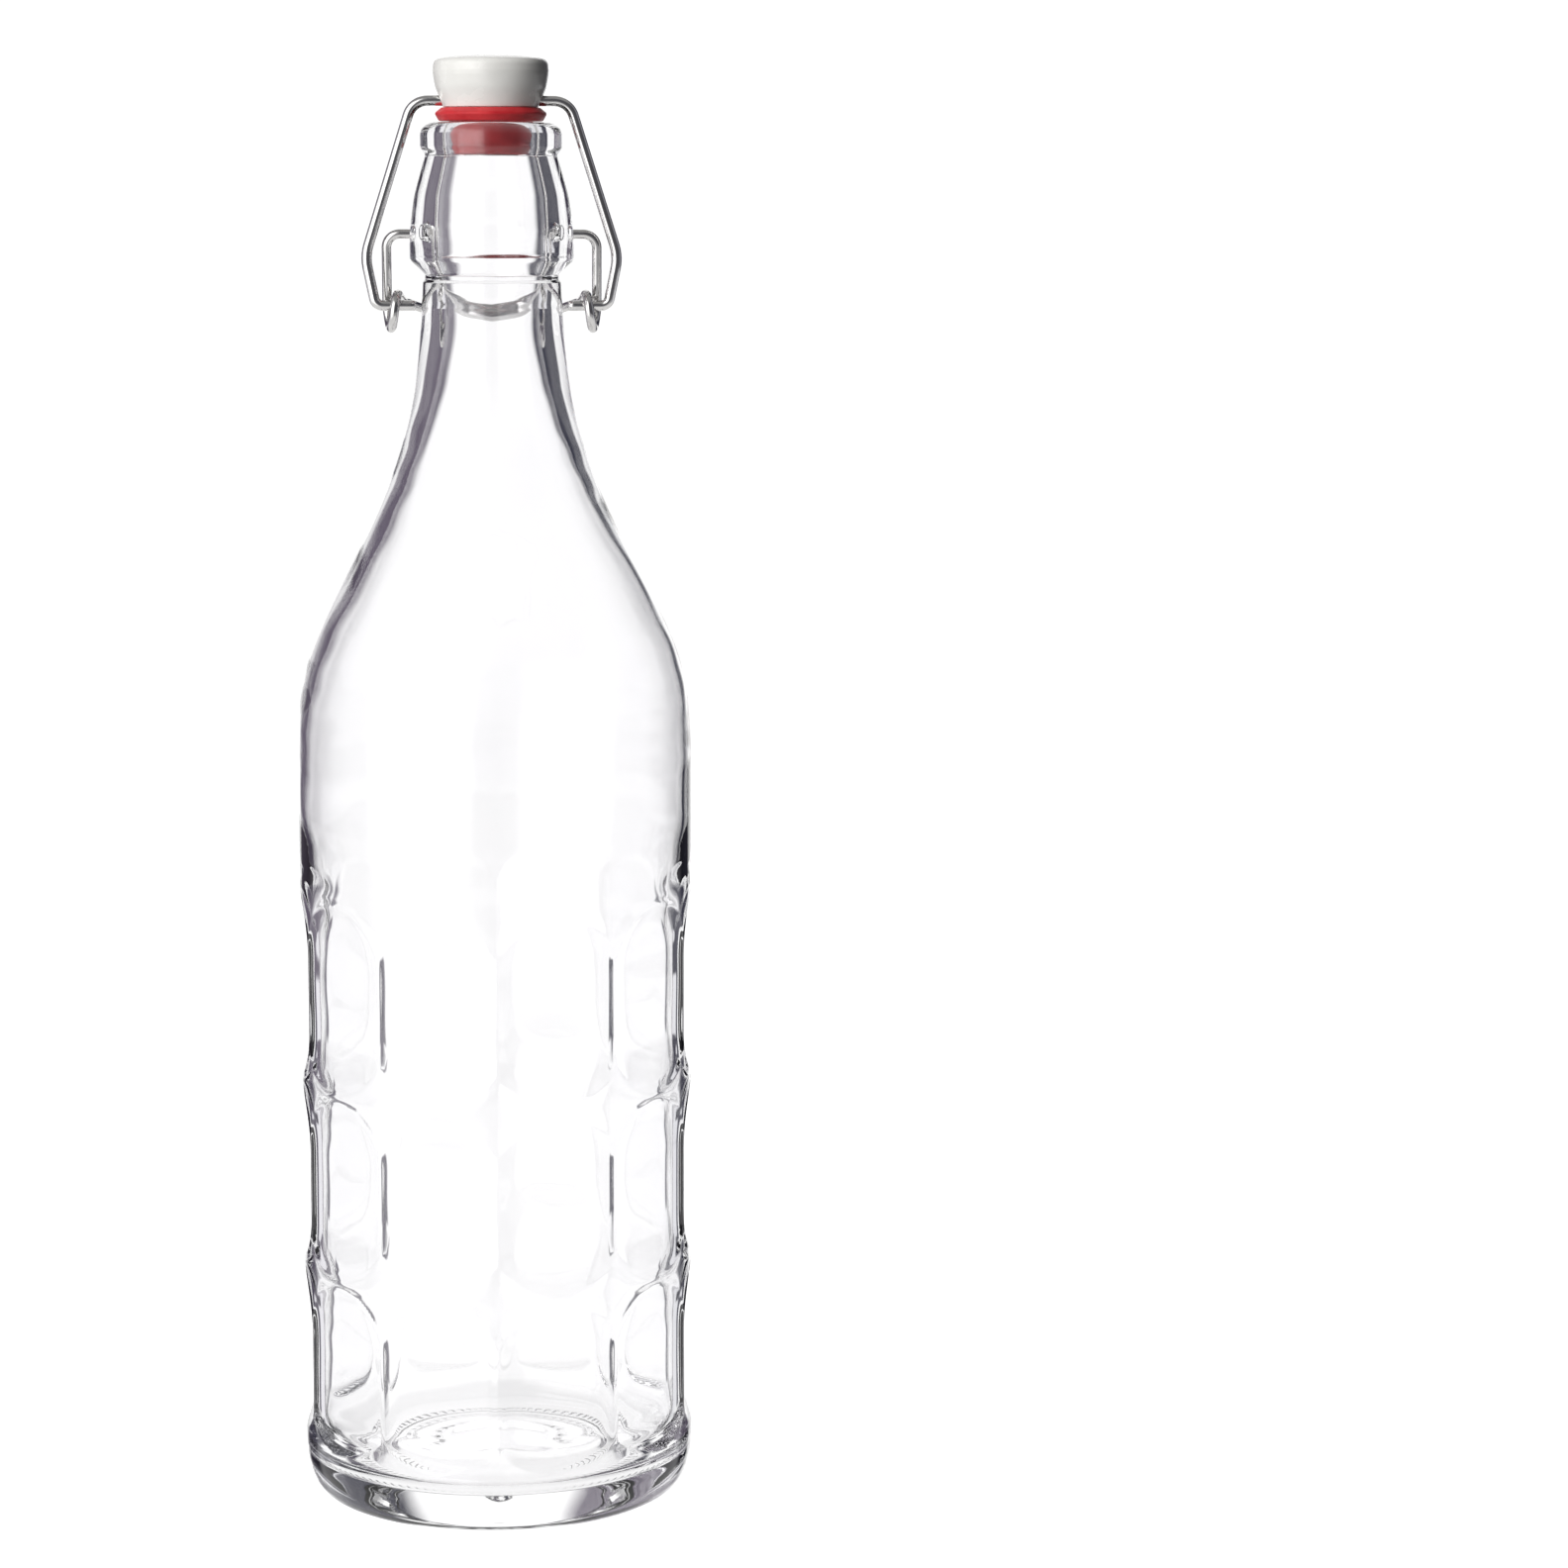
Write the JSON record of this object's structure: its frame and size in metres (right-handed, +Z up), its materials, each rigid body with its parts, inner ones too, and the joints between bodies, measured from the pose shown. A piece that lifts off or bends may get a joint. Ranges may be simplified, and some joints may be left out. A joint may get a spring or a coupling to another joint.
{
  "type": "swing top bottle",
  "caption": "Clear panelled glass bottle, closed by a white stopper with a red gasket that a hinged wire bail and lever clamp on the mouth.",
  "frame": {"origin": "centre of the foot, on the surface the bottle stands on", "axes": "+Z up along the bottle's axis, -Y is the front, the two wires turn about lines along X"},
  "size_m": [0.0868, 0.0868, 0.3194],
  "materials": {
    "clear_glass": "clear pressed glass, smooth and glossy",
    "lever_steel": "bright drawn wire",
    "bail_steel": "bright drawn wire",
    "stopper_white": "off-white, glossy, with a fine parting line",
    "gasket_red": "soft red rubber, satin"
  },
  "bodies": {
    "bottle_body": {"bottle": "clear_glass"},
    "lever_body": {"lever": "lever_steel"},
    "bail_body": {"bail": "bail_steel"},
    "stopper_body": {"stopper": "stopper_white", "gasket": "gasket_red"}
  },
  "joints": [
    {"name": "lever_swing", "type": "hinge", "parent": "bottle_body", "child": "lever_body", "pos_m": [0, 0, 0.2808], "axis": [1, 0, 0], "range_deg": [0, 95]},
    {"name": "bail_swing", "type": "hinge", "parent": "lever_body", "child": "bail_body", "pos_m": [0, -0.001, 0.2653], "axis": [1, 0, 0], "range_deg": [-65, 0]},
    {"name": "stopper_tilt", "type": "hinge", "parent": "bail_body", "child": "stopper_body", "pos_m": [0, 0, 0.3095], "axis": [1, 0, 0], "range_deg": [-32, 0]}
  ],
  "couplings": [
    {"joint": "bail_swing", "follows": "lever_swing", "ratio": -0.675},
    {"joint": "stopper_tilt", "follows": "lever_swing", "ratio": -0.325}
  ]
}
